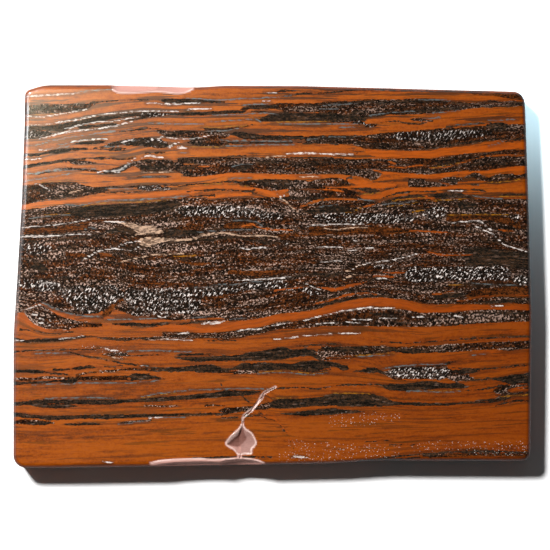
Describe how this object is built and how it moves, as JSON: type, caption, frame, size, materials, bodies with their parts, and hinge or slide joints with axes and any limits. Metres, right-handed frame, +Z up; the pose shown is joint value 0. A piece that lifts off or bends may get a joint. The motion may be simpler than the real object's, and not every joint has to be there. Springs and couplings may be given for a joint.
{
  "type": "tiger iron slab",
  "caption": "Flat rectangular slab of banded tiger iron with one polished face, softly rounded edges, a drop-shaped pit, a thin crack and flakes missing from its rim.",
  "frame": {"origin": "middle of the bounding rectangle of the slab, on its flat underside", "axes": "+X along the slab's length and its bands, +Y across the bands, +Z up out of the polished face"},
  "size_m": [0.1802, 0.1332, 0.012],
  "materials": {
    "tiger_iron": "polished, with wavy ochre-orange jasper bands between charcoal hematite bands; chips and pit matte and dusty pink"
  },
  "bodies": {
    "root": {"tiger_iron_slab": "tiger_iron"}
  },
  "joints": []
}
